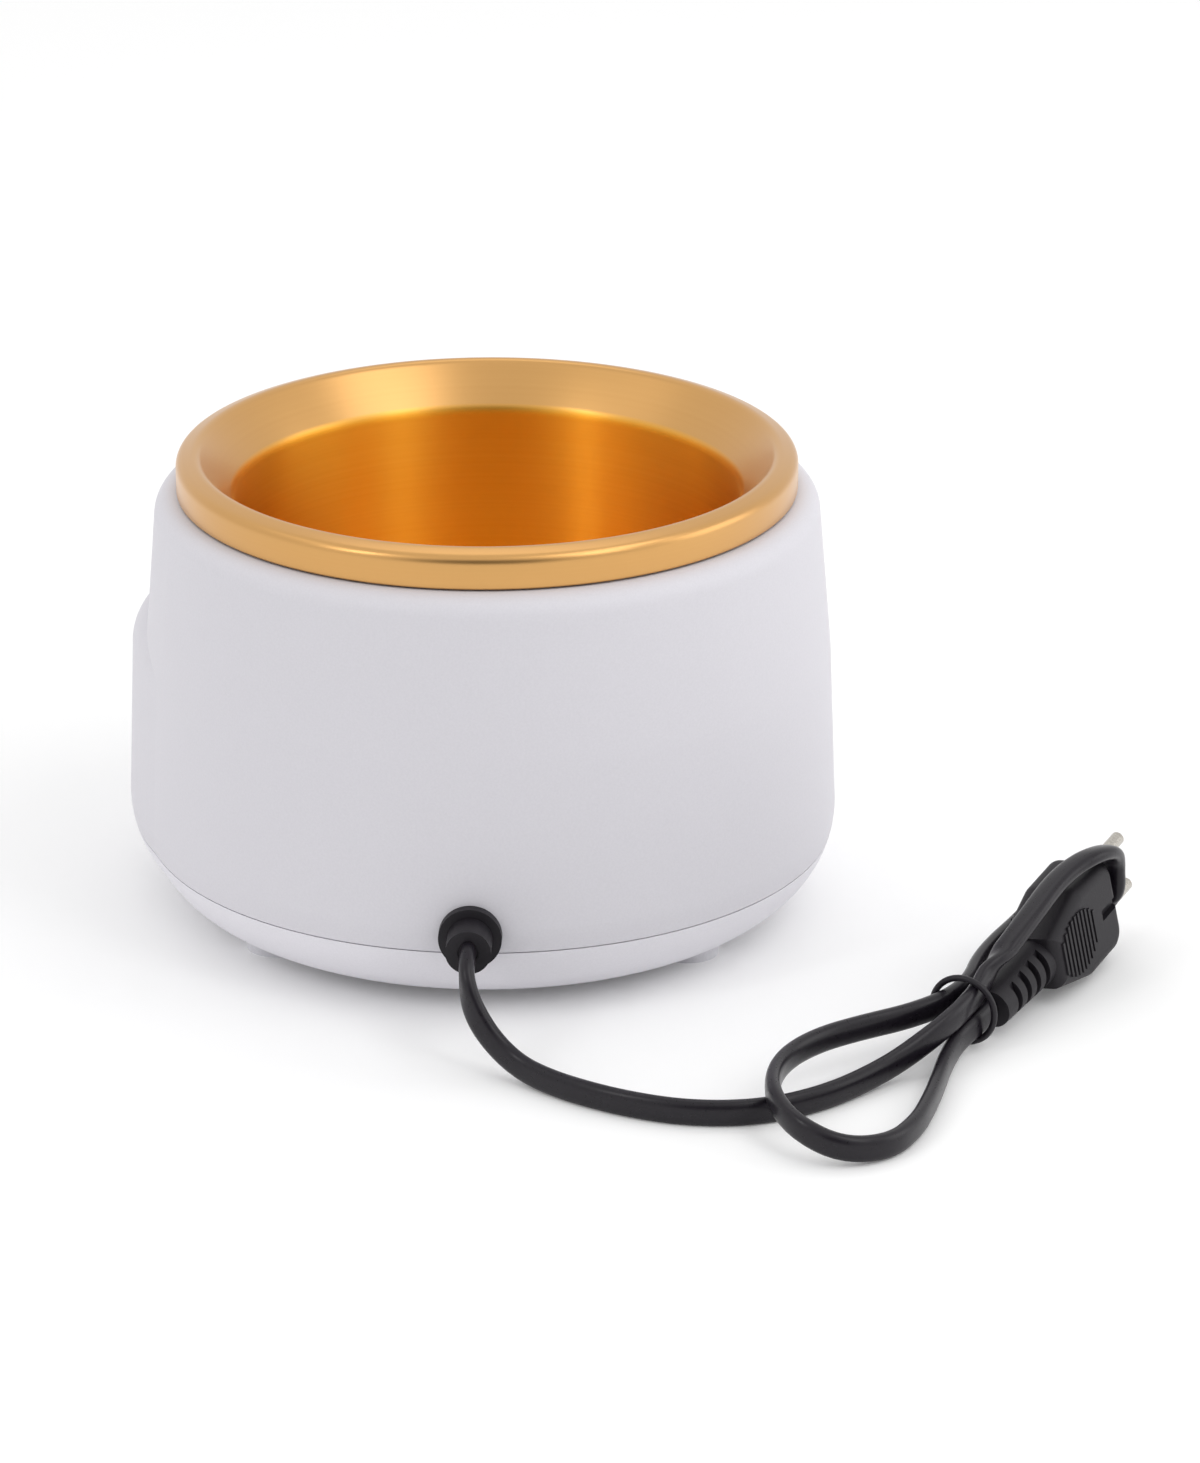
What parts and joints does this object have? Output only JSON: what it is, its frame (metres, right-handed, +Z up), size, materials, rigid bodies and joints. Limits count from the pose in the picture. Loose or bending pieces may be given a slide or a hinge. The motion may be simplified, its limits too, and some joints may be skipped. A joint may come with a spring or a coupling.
{
  "type": "wax heater",
  "caption": "Round depilatory wax heater with a stepped control console, a lift-off flared metal pot in a heated cup, and a tied mains lead with plug.",
  "frame": {"origin": "on the floor under the centre of the housing's outline, without the free cord and plug", "axes": "+Z up, -Y to the front with the control console, +X to the right of someone who looks at the console"},
  "size_m": [0.2155, 0.2669, 0.1105],
  "materials": {
    "white_abs": "fine matte moulded",
    "pale_rubber": "matte",
    "gold_aluminium": "satin anodised",
    "cast_aluminium": "as cast",
    "sheet_steel": "bright rolled",
    "screw_steel": "zinc plated",
    "pin_steel": "nickel plated",
    "panel_film": "satin",
    "dark_lens": "gloss",
    "clear_acrylic": "polished",
    "button_grey": "satin",
    "circuit_board": "solder mask",
    "black_component": "moulded",
    "blue_relay": "moulded",
    "green_terminal": "moulded",
    "fuse_glass": "clear",
    "ceramic_bead": "matte",
    "black_pvc": "satin",
    "sleeved_wire": "glass-fibre sleeve"
  },
  "bodies": {
    "base": {"housing": "white_abs", "base_cover": "white_abs", "rubber_feet": "pale_rubber", "base_screws": "screw_steel", "heating_cup": "cast_aluminium", "heat_shield": "sheet_steel", "cup_screws": "screw_steel", "cup_nuts": "screw_steel", "heater_band": "sheet_steel", "band_clamp_screw": "screw_steel", "thermostat": "black_component", "thermostat_screws": "screw_steel", "ntc_sensor": "ceramic_bead", "control_fascia": "panel_film", "display_lens": "dark_lens", "light_pipes": "clear_acrylic", "control_board": "circuit_board", "control_screws": "screw_steel", "tact_switches": "black_component", "display_module": "black_component", "power_board": "circuit_board", "power_screws": "screw_steel", "heater_relay": "blue_relay", "supply_module": "black_component", "filter_capacitor": "black_component", "mains_terminal": "green_terminal", "heater_terminal": "green_terminal", "mains_fuse": "fuse_glass", "cord_gland": "black_pvc", "cord_tie": "black_pvc", "plug_body": "black_pvc", "plug_pins": "pin_steel", "pin_sleeves": "black_pvc", "power_cord": "black_pvc", "cord_hank": "black_pvc", "inner_cord": "black_pvc", "heater_lead_left": "sleeved_wire", "heater_lead_right": "sleeved_wire", "panel_lead": "sleeved_wire"},
    "pot": {"wax_pot": "gold_aluminium"},
    "minus": {"minus_button": "button_grey"},
    "power": {"power_button": "button_grey"},
    "plus": {"plus_button": "button_grey"}
  },
  "joints": [
    {"name": "pot_lift", "type": "slide", "parent": "base", "child": "pot", "axis": [0, 0, 1], "range_m": [0, 0.09]},
    {"name": "minus_press", "type": "slide", "parent": "base", "child": "minus", "axis": [0, 1, 0], "range_m": [0, 0.0008], "stiffness_N_per_m": 1500},
    {"name": "power_press", "type": "slide", "parent": "base", "child": "power", "axis": [0, 1, 0], "range_m": [0, 0.0008], "stiffness_N_per_m": 1500},
    {"name": "plus_press", "type": "slide", "parent": "base", "child": "plus", "axis": [0, 1, 0], "range_m": [0, 0.0008], "stiffness_N_per_m": 1500}
  ]
}
